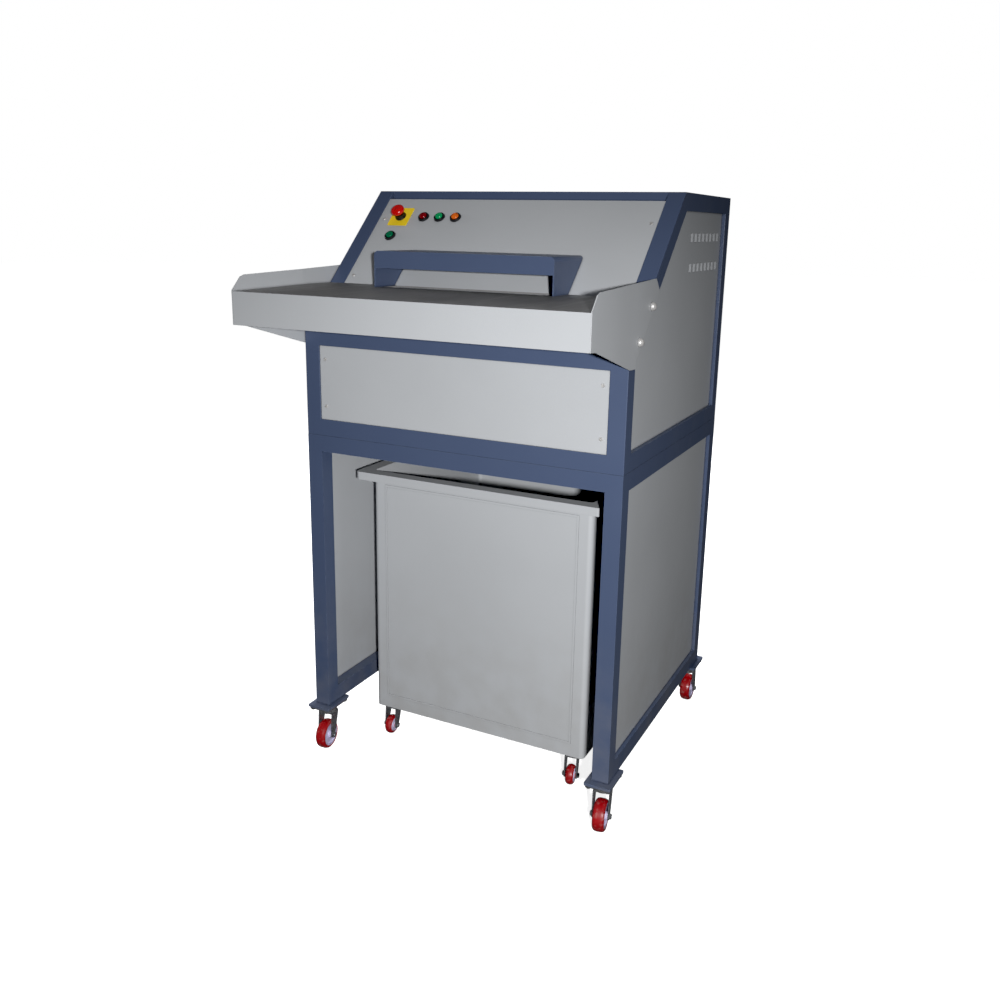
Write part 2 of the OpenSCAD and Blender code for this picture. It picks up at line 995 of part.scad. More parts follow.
// Right-angle gearbox on the cutter block, with its motor lying along the depth
module gear_motor() {
    box_z = shaft_z - gearbox_h / 2;
    motor_y = front_y + gearbox_y + gearbox_l;
    fin_count = 24;
    color(cast_grey)
        difference() {
            union() {
                span([gearbox_x, gearbox_y, box_z],
                     [gearbox_x + gearbox_w, gearbox_y + gearbox_l, box_z + gearbox_h]);
                translate([motor_x, motor_y, shaft_z])
                    rotate([-90, 0, 0]) {
                        cylinder(r = motor_r, h = 14);
                        cylinder(r = motor_r - 10, h = motor_l);
                        translate([0, 0, motor_l - 40])
                            cylinder(r = motor_r - 4, h = 40);
                        for (i = [0 : fin_count - 1])
                            rotate(i * 360 / fin_count)
                                translate([motor_r - 14, -1.5, 14])
                                    cube([9, 3, motor_l - 60]);
                    }
                // Terminal box
                translate([motor_x - 35, motor_y + 60, shaft_z + motor_r - 14])
                    cube([70, 80, 34]);
            }
            shaft_place(rear_shaft_y)
                translate([0, 0, gearbox_x - 1])
                    cylinder(r = journal_r + run_gap, h = 61);
        }
}

// Electrical enclosure fixed to the inside of the back panel
module control_box() {
    lo = [-335, panel_back - sheet - 120, 1000];
    hi = [-135, panel_back - sheet, 1250];
    color("#d4d5d2")
        union() {
            span(lo, hi);
            // Door on the side that faces the panel controls
            span([lo[0] + 4, lo[1] - 3, lo[2] + 4], [hi[0] - 4, lo[1] + eps, hi[2] - 4]);
        }
}

gland_r = 12.5;

// The place where the supply cable enters, its axis along Z pointing out of the back
module at_gland() {
    translate([-240, front_y + panel_back, 935])
        rotate([-90, 0, 0])
            children();
}

module inlet_gland() {
    bore = 6.5;
    color("#26282b")
        at_gland()
            difference() {
                union() {
                    translate([0, 0, -12])
                        cylinder(r = gland_r, h = 30);
                    translate([0, 0, -8])
                        cylinder(r = 17, h = 8 - sheet, $fn = 6);
                    cylinder(r = 17, h = 6, $fn = 6);
                    translate([0, 0, 18 - eps])
                        cylinder(r1 = gland_r, r2 = 9, h = 8);
                }
                translate([0, 0, -20])
                    cylinder(r = bore, h = 50);
            }
}

// ---- controls ----

// Places the 22 mm barrels of the emergency stop, the lamps and the start button
module at_barrels() {
    on_slope(estop_x, control_row, control_inset)
        children();
    on_slope(button_x, button_row, control_inset)
        children();
    for (x = lamp_x)
        on_slope(x, control_row, control_inset)
            children();
}

module estop_plate() {
    plate_w = 55;
    plate_l = 60;
    color("#e5b92a")
        on_slope(estop_x, control_row, control_inset)
            linear_extrude(1.5)
                difference() {
                    round_rect(plate_w, plate_l, 3);
                    circle(barrel_r);
                }
}

// Bezel rings on threaded barrels, each with a nut behind the panel
module switch_bezels() {
    color("#2b2d30")
        on_slope(estop_x, control_row, control_inset - 1.5)
            barrel(6);
    color("#2b2d30") {
        on_slope(button_x, button_row, control_inset)
            barrel(0);
        for (x = lamp_x)
            on_slope(x, control_row, control_inset)
                barrel(0);
    }
}

// A barrel with a stepped bore for its cap; `collar` is an extra neck under a mushroom cap
module barrel(collar) {
    nut_z = -sheet - 1.5 * (collar > 0 ? 1 : 0);
    difference() {
        union() {
            translate([0, 0, -38])
                cylinder(r = barrel_r, h = 38 + eps);
            cylinder(r1 = bezel_r, r2 = bezel_r - 1.5, h = bezel_h);
            if (collar > 0)
                cylinder(r = bezel_r - 2, h = bezel_h + collar);
            translate([0, 0, nut_z - 4])
                cylinder(r = 15, h = 4, $fn = 6);
        }
        translate([0, 0, -12])
            cylinder(r = 9.5, h = 40);
    }
}

// The mushroom cap of the emergency stop on its stem
module estop_button() {
    head_r = 17;
    stem_r = 9.2;
    seat = bezel_h + 6 + estop_travel + 0.5;
    color("#c8201c")
        on_slope(estop_x, control_row, control_inset - 1.5)
            rotate_extrude()
                polygon(concat(
                    [[0, -6], [stem_r, -6], [stem_r, seat], [head_r - 1, seat], [head_r, seat + 1.5],
                     [head_r, seat + 4]],
                    [for (a = [10 : 16 : 90]) [head_r * cos(a), seat + 4 + 9 * sin(a)]]
                ));
}

// A lamp lens seated in its bezel
module lens(x, tint) {
    lens_r = 9.5;
    dome = 3.5;
    color(tint)
        on_slope(x, control_row, control_inset)
            rotate_extrude()
                polygon(concat(
                    [[0, -12], [lens_r, -12], [lens_r, bezel_h + 2]],
                    [for (a = [15 : 15 : 90]) [lens_r * cos(a), bezel_h + 2 + dome * sin(a)]]
                ));
}

module lamp_red() {
    lens(lamp_x[0], "#a02022");
}

module lamp_green() {
    lens(lamp_x[1], "#1f9a4c");
}

module lamp_orange() {
    lens(lamp_x[2], "#d9641f");
}

module start_button() {
    cap_r = 9.2;
    cap_h = bezel_h + button_travel;
    color("#1d8a48")
        on_slope(button_x, button_row, control_inset)
            rotate_extrude()
                polygon([
                    [0, -8], [cap_r, -8], [cap_r, cap_h - 1], [cap_r - 1, cap_h],
                    [cap_r - 3, cap_h], [0, cap_h - 0.8],
                ]);
}

// ---- waste bin ----

// A level slice of the bin's outline, grown by `out`, from z0 up to z1
module bin_slice(out, r, z0, z1) {
    translate([0, front_y + (bin_front + bin_back) / 2, z0])
        linear_extrude(z1 - z0)
            round_rect(bin_w + 2 * out, bin_d + 2 * out, r);
}

// The folded rim: a flat collar with a lip turned down round its outer edge
module bin_rim() {
    rim = bin_rim_w;
    r = bin_corner;
    difference() {
        bin_slice(rim, r, bin_rim_z - bin_lip, bin_rim_z);
        bin_slice(rim - sheet, r - sheet, bin_rim_z - bin_lip - 1, bin_rim_z - sheet);
        bin_slice(-sheet / 2, r - sheet / 2, bin_rim_z - bin_lip - 1, bin_rim_z + 1);
    }
}

// A raised border on the bin's front, with a slightly sunk field inside it
module bin_emboss() {
    edge = field_margin;
    band = 5;
    top = bin_rim_z - bin_lip - 14;
    low = bin_floor_z + edge;
    difference() {
        span([-bin_x + edge, bin_front - field_rise, low], [bin_x - edge, bin_front + eps, top]);
        span([-bin_x + edge + band, bin_front - field_rise - 1, low + band],
             [bin_x - edge - band, bin_front - field_rise / 3, top - band]);
    }
}

// An open box of folded sheet with an outward rim
module waste_bin() {
    color(panel_grey)
        union() {
            difference() {
                bin_slice(0, bin_corner, bin_floor_z, bin_rim_z);
                bin_slice(-sheet, bin_corner - sheet, bin_floor_z + sheet, bin_rim_z + 1);
            }
            bin_rim();
            bin_emboss();
        }
}

// Places the bin casters' swivel axes at floor level
module at_bin_pivots() {
    for (x = [bin_pivot_left, bin_pivot_right], y = [bin_pivot_front, bin_pivot_back])
        translate([x, y, 0])
            children();
}

// ---- casters ----

// Fixed half of a caster: plate, ball race and kingpin, hanging from z = top
module caster_mount(top, w, l, race_r, race_z) {
    translate([0, 0, top - plate_thick])
        linear_extrude(plate_thick)
            difference() {
                round_rect(w, l, 4);
                for (sx = [-1, 1], sy = [-1, 1])
                    translate([sx * (w / 2 - 7), sy * (l / 2 - 7)])
                        circle(3.2);
            }
    translate([0, 0, race_z + race_gap])
        cylinder(r1 = race_r, r2 = race_r + 3, h = top - plate_thick - race_z - race_gap + eps);
    translate([0, 0, race_z - 4 - race_gap])
        cylinder(r = pin_r, h = 6);
    translate([0, 0, race_z - 8 - race_gap])
        cylinder(r = pin_r + 3, h = 4);
}

module caster_plates() {
    color(zinc)
        at_stand_pivots()
            caster_mount(caster_h, 60, 86, 19, fork_top);
}

module bin_caster_plates() {
    color(zinc)
        at_bin_pivots()
            caster_mount(bin_floor_z, 46, 58, 14, bin_fork_top);
}

// Swivelling half: crown, two legs and the axle; the wheel trails towards -Y
module fork(top, race_r, r, tread, trail) {
    crown_t = 4;
    leg = tread / 2 + 3.5;
    eye = 9;
    difference() {
        union() {
            translate([0, 0, top - crown_t])
                cylinder(r = race_r + 2, h = crown_t);
            translate([-leg - leg_t, -trail - 4, top - crown_t])
                cube([2 * (leg + leg_t), trail + 4 + race_r * 0.6, crown_t]);
            for (sx = [-1, 1])
                translate([sx * (leg + leg_t / 2) - leg_t / 2, 0, 0])
                    rotate([90, 0, 90])
                        linear_extrude(leg_t)
                            union() {
                                polygon([
                                    [-trail - eye, r],
                                    [-trail - 4, top],
                                    [race_r * 0.6, top],
                                    [race_r * 0.6, top - crown_t - 4],
                                    [-trail + eye, r],
                                ]);
                                translate([-trail, r])
                                    circle(eye);
                            }
            translate([-leg - leg_t - 5, -trail, r])
                rotate([0, 90, 0])
                    cylinder(r = axle_r, h = 2 * (leg + leg_t) + 10);
            for (sx = [-1, 1])
                translate([sx * (leg + leg_t), -trail, r])
                    rotate([0, sx * 90, 0])
                        cylinder(r = 7, h = 4, $fn = 6);
        }
        translate([0, 0, top - crown_t - 5])
            cylinder(r = pin_r + race_gap, h = 10);
        translate([0, 0, top - crown_t - 8])
            cylinder(r = pin_r + 3.5, h = 8);
    }
}

module wheel_frame(r, trail) {
    translate([0, -trail, r])
        rotate([0, 90, 0])
            children();
}

// Hub with a dished face each side and a bore for the axle
module hub(r, tread, trail) {
    rim = r - 8;
    web = tread / 2 - 5;
    boss = 10;
    side = tread / 2 + 3;
    wheel_frame(r, trail)
        rotate_extrude()
            polygon([
                [axle_r + run_gap, -side], [boss, -side], [boss, -web], [rim - 4, -web],
                [rim - 4, -tread / 2 + 1], [rim, -tread / 2 + 1], [rim, tread / 2 - 1],
                [rim - 4, tread / 2 - 1], [rim - 4, web], [boss, web], [boss, side],
                [axle_r + run_gap, side],
            ]);
}

// Tyre outline from the hub's rim out to the tread
function tyre_points(r, tread, hub_r) = [
    [hub_r, -tread / 2 + 1],
    [r - 5, -tread / 2],
    [r - 1.5, -tread / 2 + 3],
    [r, -tread / 2 + 8],
    [r, tread / 2 - 8],
    [r - 1.5, tread / 2 - 3],
    [r - 5, tread / 2],
    [hub_r, tread / 2 - 1],
];

module tyre(r, tread, trail) {
    wheel_frame(r, trail)
        rotate_extrude()
            polygon(tyre_points(r, tread, r - 8));
}

// Small wheel in one piece: hub and tread bonded together
module small_wheel(r, tread, trail) {
    side = tread / 2 + 3;
    boss = 8;
    wheel_frame(r, trail)
        rotate_extrude()
            polygon(concat(
                [[axle_r + run_gap, -side], [boss, -side], [boss, -tread / 2 + 3],
                 [r - 7, -tread / 2 + 3]],
                tyre_points(r, tread, r - 7),
                [[r - 7, tread / 2 - 3], [boss, tread / 2 - 3], [boss, side],
                 [axle_r + run_gap, side]]
            ));
}

// Puts a caster piece at a corner of the stand, turned by its swivel angle
module at_corner(sx, y, turn) {
    translate([sx * pivot_x, y, 0])
        rotate(turn)
            children();
}

module stand_fork(sx, y, turn) {
    color(zinc)
        at_corner(sx, y, turn)
            fork(fork_top, 19, wheel_r, tread_w, caster_trail);
}

module stand_hub(sx, y, turn) {
    color("#cfcbe0")
        at_corner(sx, y, turn)
            hub(wheel_r, tread_w, caster_trail);
}

module stand_tyre(sx, y, turn) {
    color("#b81a1c")
        at_corner(sx, y, turn)
            tyre(wheel_r, tread_w, caster_trail);
}

module bin_fork(x, y, turn) {
    color(zinc)
        translate([x, y, 0])
            rotate(turn)
                fork(bin_fork_top, 14, bin_wheel_d / 2, bin_tread_w, bin_trail);
}

module bin_wheel(x, y, turn) {
    color("#b81a1c")
        translate([x, y, 0])
            rotate(turn)
                small_wheel(bin_wheel_d / 2, bin_tread_w, bin_trail);
}

// ---- the assembly ----

machine_frame();
stand_frame();
front_panel();
control_panel();
left_side_panel();
right_side_panel();
back_panel();
top_cover();
stand_left_panel();
stand_right_panel();
stand_back_panel();
panel_screws();
tray_deck();
tray_front();
tray_left_cheek();
tray_right_cheek();
cheek_bolts();
feed_hood();
feed_throat();
cutter_frame();
cutter_bearings();
stripper_combs();
front_cutter_shaft();
rear_cutter_shaft();
front_timing_gear();
rear_timing_gear();
discharge_chute();
gear_motor();
control_box();
inlet_gland();
estop_plate();
estop_button();
switch_bezels();
lamp_red();
lamp_green();
lamp_orange();
start_button();
caster_plates();
waste_bin();
bin_caster_plates();
stand_fork(-1, front_pivot_y, swivel_fl);  // caster_fl_fork
stand_hub(-1, front_pivot_y, swivel_fl);  // caster_fl_hub
stand_tyre(-1, front_pivot_y, swivel_fl);  // caster_fl_tyre
stand_fork(1, front_pivot_y, swivel_fr);  // caster_fr_fork
stand_hub(1, front_pivot_y, swivel_fr);  // caster_fr_hub
stand_tyre(1, front_pivot_y, swivel_fr);  // caster_fr_tyre
stand_fork(-1, back_pivot_y, swivel_back);  // caster_bl_fork
stand_hub(-1, back_pivot_y, swivel_back);  // caster_bl_hub
stand_tyre(-1, back_pivot_y, swivel_back);  // caster_bl_tyre
stand_fork(1, back_pivot_y, swivel_back);  // caster_br_fork
stand_hub(1, back_pivot_y, swivel_back);  // caster_br_hub
stand_tyre(1, back_pivot_y, swivel_back);  // caster_br_tyre
bin_fork(bin_pivot_left, bin_pivot_front, bin_swivel_fl);  // bin_caster_fl_fork
bin_wheel(bin_pivot_left, bin_pivot_front, bin_swivel_fl);  // bin_caster_fl_wheel
bin_fork(bin_pivot_right, bin_pivot_front, bin_swivel_fr);  // bin_caster_fr_fork
bin_wheel(bin_pivot_right, bin_pivot_front, bin_swivel_fr);  // bin_caster_fr_wheel
bin_fork(bin_pivot_left, bin_pivot_back, 0);  // bin_caster_bl_fork
bin_wheel(bin_pivot_left, bin_pivot_back, 0);  // bin_caster_bl_wheel
bin_fork(bin_pivot_right, bin_pivot_back, 0);  // bin_caster_br_fork
bin_wheel(bin_pivot_right, bin_pivot_back, 0);  // bin_caster_br_wheel
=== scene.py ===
"""Looks for a floor-standing paper shredder. Metres, in the CAD model's own frame."""

import json
import math
import random

import bmesh
import bpy
from mathutils import Matrix, Vector


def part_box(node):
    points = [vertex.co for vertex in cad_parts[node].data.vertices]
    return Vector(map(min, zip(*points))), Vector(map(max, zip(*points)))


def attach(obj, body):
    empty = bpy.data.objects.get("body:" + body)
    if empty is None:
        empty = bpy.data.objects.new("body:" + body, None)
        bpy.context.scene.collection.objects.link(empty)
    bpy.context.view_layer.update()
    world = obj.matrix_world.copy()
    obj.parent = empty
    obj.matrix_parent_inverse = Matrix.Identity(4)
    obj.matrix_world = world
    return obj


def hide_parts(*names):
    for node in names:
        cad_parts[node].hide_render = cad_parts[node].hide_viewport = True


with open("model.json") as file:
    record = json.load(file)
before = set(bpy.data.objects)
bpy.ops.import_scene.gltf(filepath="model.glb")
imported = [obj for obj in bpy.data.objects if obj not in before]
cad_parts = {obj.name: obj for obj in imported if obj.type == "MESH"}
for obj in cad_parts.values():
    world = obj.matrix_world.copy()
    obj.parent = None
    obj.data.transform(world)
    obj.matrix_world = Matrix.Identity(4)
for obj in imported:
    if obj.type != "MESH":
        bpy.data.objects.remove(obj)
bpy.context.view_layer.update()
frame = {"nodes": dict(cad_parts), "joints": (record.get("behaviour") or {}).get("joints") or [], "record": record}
NODES = frame["nodes"]
RECORD = frame["record"]

# The front faces of the frame's posts are the depth that everything is measured from
FRAME_LOW, FRAME_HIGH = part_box("machine_frame")
STAND_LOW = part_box("stand_frame")[0]
FRONT_Y = FRAME_LOW.y
BACK_Y = FRAME_HIGH.y
HALF_W = FRAME_HIGH.x
# The frames' square tube, and the thickness of the plates under the stand's posts
TUBE = 0.040
FOOT_PLATE = 0.006


def joint_axis(key, value):
    """The unit axis of the joint whose key has this value."""
    found = [j for j in frame["joints"] if j[key] == value][0]
    return Vector(found["axis"]).normalized()


# The sloped panel's outward direction and the one up along it, and the height where it starts
SLOPE_NORMAL = joint_axis("name", "start_press")
SLOPE_UP = Vector((1, 0, 0)).cross(SLOPE_NORMAL) * -1
SILL_Z = 1.102
# Distances up the slope of the cheek bolts and of the upper row of controls
BOLT_ALONG = (0.047, 0.145)
CONTROL_ALONG = 0.372
# How far the cheek bolts lie behind the slope, and how far the CAD heads stand out
BOLT_IN = 0.024
BOLT_HEAD = 0.0045


# ---- camera ----

CAMERA_AZIMUTH = 26.1
CAMERA_ELEVATION = 14.06
CAMERA_ROLL = 1.14
CAMERA_OFFSET = Vector((1.0344, -1.8343, 1.3446))
CAMERA_LENS = 34.52
CAMERA_SENSOR = 36
CAMERA_SHIFT = (-0.0071, -0.0341)


def make_camera():
    """A camera in front and to the right of the machine, a little above it."""
    az = math.radians(CAMERA_AZIMUTH)
    el = math.radians(CAMERA_ELEVATION)
    roll = math.radians(CAMERA_ROLL)
    back = Vector((math.sin(az) * math.cos(el), -math.cos(az) * math.cos(el), math.sin(el)))
    level = Vector((math.cos(az), math.sin(az), 0))
    upright = back.cross(level)
    right = level * math.cos(roll) + upright * math.sin(roll)
    up = upright * math.cos(roll) - level * math.sin(roll)
    data = bpy.data.cameras.new("camera")
    data.lens = CAMERA_LENS
    data.sensor_width = CAMERA_SENSOR
    data.shift_x, data.shift_y = CAMERA_SHIFT
    data.clip_end = 100
    camera = bpy.data.objects.new("camera", data)
    axes = Matrix((right, up, back)).transposed()
    camera.matrix_world = Matrix.Translation(CAMERA_OFFSET + Vector((0, FRONT_Y, 0))) @ axes.to_4x4()
    bpy.context.scene.collection.objects.link(camera)
    bpy.context.scene.camera = camera


make_camera()


# ---- materials ----


class Surface:
    """A principled material with short calls for the procedural nodes that feed it."""

    def __init__(self, name, rough, metallic=0.0, coat=0.0, coat_rough=0.1, specular=0.5):
        self.mat = bpy.data.materials.new(name)
        self.mat.use_nodes = True
        self.tree = self.mat.node_tree
        self.shader = self.tree.nodes["Principled BSDF"]
        self.set("Roughness", rough)
        self.set("Metallic", metallic)
        self.set("Coat Weight", coat)
        self.set("Coat Roughness", coat_rough)
        self.set("Specular IOR Level", specular)
        self.place = self.node("ShaderNodeTexCoord").outputs["Object"]
        self.height = None

    def set(self, socket, value):
        """Sets a constant on one of the shader's sockets."""
        self.shader.inputs[socket].default_value = value

    def node(self, kind, **settings):
        """Adds a node to the material."""
        made = self.tree.nodes.new(kind)
        for key, value in settings.items():
            setattr(made, key, value)
        return made

    def join(self, source, target):
        """Links one socket to another."""
        self.tree.links.new(source, target)

    def math(self, operation, a, b):
        """Combines two sockets, or a socket and a number."""
        made = self.node("ShaderNodeMath", operation=operation)
        for i, value in enumerate((a, b)):
            if isinstance(value, (int, float)):
                made.inputs[i].default_value = value
            else:
                self.join(value, made.inputs[i])
        return made.outputs[0]

    def stretched(self, scale):
        """The object's coordinates, scaled along each axis."""
        made = self.node("ShaderNodeMapping")
        made.inputs["Scale"].default_value = scale
        self.join(self.place, made.inputs["Vector"])
        return made.outputs["Vector"]

    def noise(self, scale, detail=3.0, stretch=None):
        """Noise from 0 to 1, drawn out along an axis if asked."""
        made = self.node("ShaderNodeTexNoise")
        made.inputs["Scale"].default_value = scale
        made.inputs["Detail"].default_value = detail
        self.join(self.stretched(stretch) if stretch else self.place, made.inputs["Vector"])
        return made.outputs["Fac"]

    def cells(self, scale):
        """Distance to the nearest of many scattered points."""
        made = self.node("ShaderNodeTexVoronoi")
        made.inputs["Scale"].default_value = scale
        self.join(self.place, made.inputs["Vector"])
        return made.outputs["Distance"]

    def ramp(self, fac, stops):
        """Colours or greys at (position, value) stops."""
        made = self.node("ShaderNodeValToRGB")
        elements = made.color_ramp.elements
        while len(elements) < len(stops):
            elements.new(0.5)
        for element, (position, value) in zip(elements, stops):
            element.position = position
            colour = (value, value, value) if isinstance(value, (int, float)) else value
            element.color = (*colour, 1)
        self.join(fac, made.inputs["Fac"])
        return made.outputs["Color"]

    def span(self, fac, low, high):
        """Maps the middle of a noise to the range low..high."""
        made = self.node("ShaderNodeMapRange")
        made.inputs["From Min"].default_value = 0.3
        made.inputs["From Max"].default_value = 0.7
        made.inputs["To Min"].default_value = low
        made.inputs["To Max"].default_value = high
        self.join(fac, made.inputs["Value"])
        return made.outputs["Result"]

    def mix(self, fac, a, b):
        """Colour a where fac is 0 and colour b where it is 1."""
        made = self.node("ShaderNodeMix", data_type="RGBA")
        self.join(fac, made.inputs["Factor"])
        for key, value in (("A", a), ("B", b)):
            socket = [s for s in made.inputs if s.name == key and s.type == "RGBA"][0]
            if isinstance(value, tuple):
                socket.default_value = (*value, 1)
            else:
                self.join(value, socket)
        return [s for s in made.outputs if s.type == "RGBA"][0]

    def shade(self, colour):
        """Feeds the base colour."""
        self.join(colour, self.shader.inputs["Base Color"])

    def roughen(self, fac, low, high):
        """Varies the roughness between two values."""
        self.join(self.span(fac, low, high), self.shader.inputs["Roughness"])

    def bump(self, fac, strength, depth):
        """Adds relief on top of any that is there already."""
        made = self.node("ShaderNodeBump")
        made.inputs["Strength"].default_value = strength
        made.inputs["Distance"].default_value = depth
        self.join(fac, made.inputs["Height"])
        if self.height:
            self.join(self.height, made.inputs["Normal"])
        self.height = made.outputs["Normal"]
        self.join(self.height, self.shader.inputs["Normal"])

    def round_edges(self, radius):
        """Shades folded and cut edges as if they were rolled over."""
        bevel = self.node("ShaderNodeBevel", samples=6)
        bevel.inputs["Radius"].default_value = radius
        self.height = bevel.outputs["Normal"]

    def corner_shade_mask(self, distance):
        """1 on open faces, falling to 0 in the corners between one part and the next: the mask for the painted
        shade laid in those corners.
        """
        made = self.node("ShaderNodeAmbientOcclusion", samples=6)
        made.inputs["Distance"].default_value = distance
        return self.ramp(made.outputs["AO"], [(0.30, 0), (0.85, 1)])

    def edges(self, radius):
        """1 on sharp outer and inner edges and 0 on flat faces."""
        bevel = self.node("ShaderNodeBevel", samples=4)
        bevel.inputs["Radius"].default_value = radius
        plain = self.node("ShaderNodeNewGeometry").outputs["Normal"]
        dot = self.node("ShaderNodeVectorMath", operation="DOT_PRODUCT")
        self.join(bevel.outputs["Normal"], dot.inputs[0])
        self.join(plain, dot.inputs[1])
        return self.math("SUBTRACT", 1.0, dot.outputs["Value"])

    def low_down(self, top):
        """1 at the floor, falling to 0 at the height `top`."""
        axis = self.node("ShaderNodeSeparateXYZ")
        self.join(self.place, axis.inputs[0])
        made = self.node("ShaderNodeMapRange")
        made.inputs["From Min"].default_value = 0.0
        made.inputs["From Max"].default_value = top
        made.inputs["To Min"].default_value = 1.0
        made.inputs["To Max"].default_value = 0.0
        self.join(axis.outputs["Z"], made.inputs["Value"])
        return made.outputs["Result"]


def darker(colour, k):
    """A colour scaled by k, which may also be above 1."""
    return tuple(c * k for c in colour)


# How far rubbed edges, the painted shade in corners and floor dust reach on painted steel
WORN_EDGE = 0.0018
CORNER_SHADE_REACH = 0.007
DUST_TOP = 0.5
DUST = (0.30, 0.28, 0.25)


def powder_coat(name, colour, rough=0.42, grain=620, depth=0.00016, wear=None, fold=0.0):
    """Baked powder paint: pebbled skin, faint mottling, edges rubbed thin, and painted shade (with some grime)
    darkening the corners between parts.
    """
    s = Surface(name, rough, coat=0.05, coat_rough=0.25, specular=0.35)
    if fold:
        s.round_edges(fold)
    mottle = s.mix(s.span(s.noise(2.6, 4), 0, 1), darker(colour, 0.93), darker(colour, 1.05))
    speck = s.mix(s.span(s.noise(900, 1), 0, 1), mottle, darker(colour, 0.97))
    dusty = s.math("MULTIPLY", s.low_down(DUST_TOP), s.span(s.noise(14, 5), 0.0, 0.35))
    tinted = s.mix(dusty, speck, DUST)
    if wear:
        rubbed = s.math("MULTIPLY", s.edges(WORN_EDGE), s.span(s.noise(38, 5), 0.0, 2.4))
        tinted = s.mix(s.ramp(rubbed, [(0.06, 0), (0.35, 1)]), tinted, wear)
    # Painted shade, with some grime: the corners between parts are darkened towards a third of the colour
    s.shade(s.mix(s.corner_shade_mask(CORNER_SHADE_REACH), darker(colour, 0.35), tinted))
    s.roughen(s.noise(7, 4), rough - 0.06, rough + 0.10)
    s.bump(s.noise(grain, 2), 0.35, depth)
    s.bump(s.noise(9, 2), 0.10, 0.0008)
    return s.mat


def shaded_worn_paint(name, colour):
    """The tray floor: a dark colour that is painted shade, standing for a light sheet lit at a grazing angle, with
    lighter streaks polished by sheets sliding to the back.
    """
    s = Surface(name, 0.5, specular=0.25)
    streaks = s.noise(46, 6, stretch=(1.0, 0.06, 1.0))
    patches = s.noise(5, 4)
    base = s.mix(s.span(patches, 0, 1), darker(colour, 0.82), darker(colour, 1.18))
    s.shade(s.mix(s.ramp(streaks, [(0.54, 0), (0.74, 0.5)]), base, darker(colour, 1.9)))
    s.roughen(streaks, 0.42, 0.62)
    s.bump(s.noise(520, 2), 0.25, 0.00012)
    s.bump(streaks, 0.12, 0.0001)
    return s.mat


def machined(name, colour, rough=0.3, stretch=(1, 1, 1), grime=0.5, metallic=1.0):
    """Ground or turned steel with tool lines and oily patches."""
    s = Surface(name, rough, metallic=metallic)
    lines = s.noise(420, 3, stretch=stretch)
    oily = s.ramp(s.noise(16, 5), [(0.42, 0), (0.72, grime)])
    bright = s.mix(s.span(lines, 0, 1), darker(colour, 0.86), darker(colour, 1.08))
    s.shade(s.mix(oily, bright, darker(colour, 0.45)))
    s.roughen(lines, rough - 0.08, rough + 0.14)
    s.bump(lines, 0.22, 0.00008)
    return s.mat


def zinc_plate(name):
    """Dull zinc plating with a faint spangle."""
    s = Surface(name, 0.28, metallic=0.85)
    spangle = s.cells(120)
    tone = s.mix(s.span(spangle, 0, 1), (0.30, 0.31, 0.33), (0.46, 0.47, 0.48))
    s.shade(s.mix(s.ramp(s.noise(30, 4), [(0.55, 0), (0.8, 0.6)]), tone, (0.20, 0.19, 0.17)))
    s.roughen(s.noise(60, 3), 0.20, 0.42)
    s.bump(s.noise(260, 2), 0.15, 0.00008)
    return s.mat


def moulded(name, colour, rough=0.4, coat=0.0, grain=900, depth=0.00006):
    """Moulded plastic with a fine skin and slight flow marks."""
    s = Surface(name, rough, coat=coat, coat_rough=0.08)
    s.shade(s.mix(s.span(s.noise(22, 4), 0, 1), darker(colour, 0.88), darker(colour, 1.08)))
    s.roughen(s.noise(80, 3), max(rough - 0.08, 0.05), rough + 0.1)
    s.bump(s.noise(grain, 2), 0.3, depth)
    return s.mat


def lens_plastic(name, colour):
    """Clear tinted plastic over a dark lamp chamber."""
    s = Surface(name, 0.12, coat=0.6, coat_rough=0.04)
    s.shade(s.mix(s.span(s.noise(160, 2), 0, 1), darker(colour, 0.7), darker(colour, 1.1)))
    s.roughen(s.noise(300, 2), 0.08, 0.22)
    s.bump(s.cells(900), 0.25, 0.0002)
    return s.mat


def wheel_tread(name, colour):
    """Red polyurethane, scuffed and dusty where it rolls."""
    s = Surface(name, 0.35, coat=0.2, coat_rough=0.2)
    flow = s.mix(s.span(s.noise(30, 4), 0, 1), darker(colour, 0.8), darker(colour, 1.12))
    dust = s.ramp(s.noise(120, 5), [(0.52, 0), (0.78, 0.45)])
    s.shade(s.mix(dust, flow, (0.42, 0.33, 0.30)))
    s.roughen(s.noise(90, 4), 0.28, 0.55)
    s.bump(s.noise(340, 3), 0.3, 0.0001)
    return s.mat


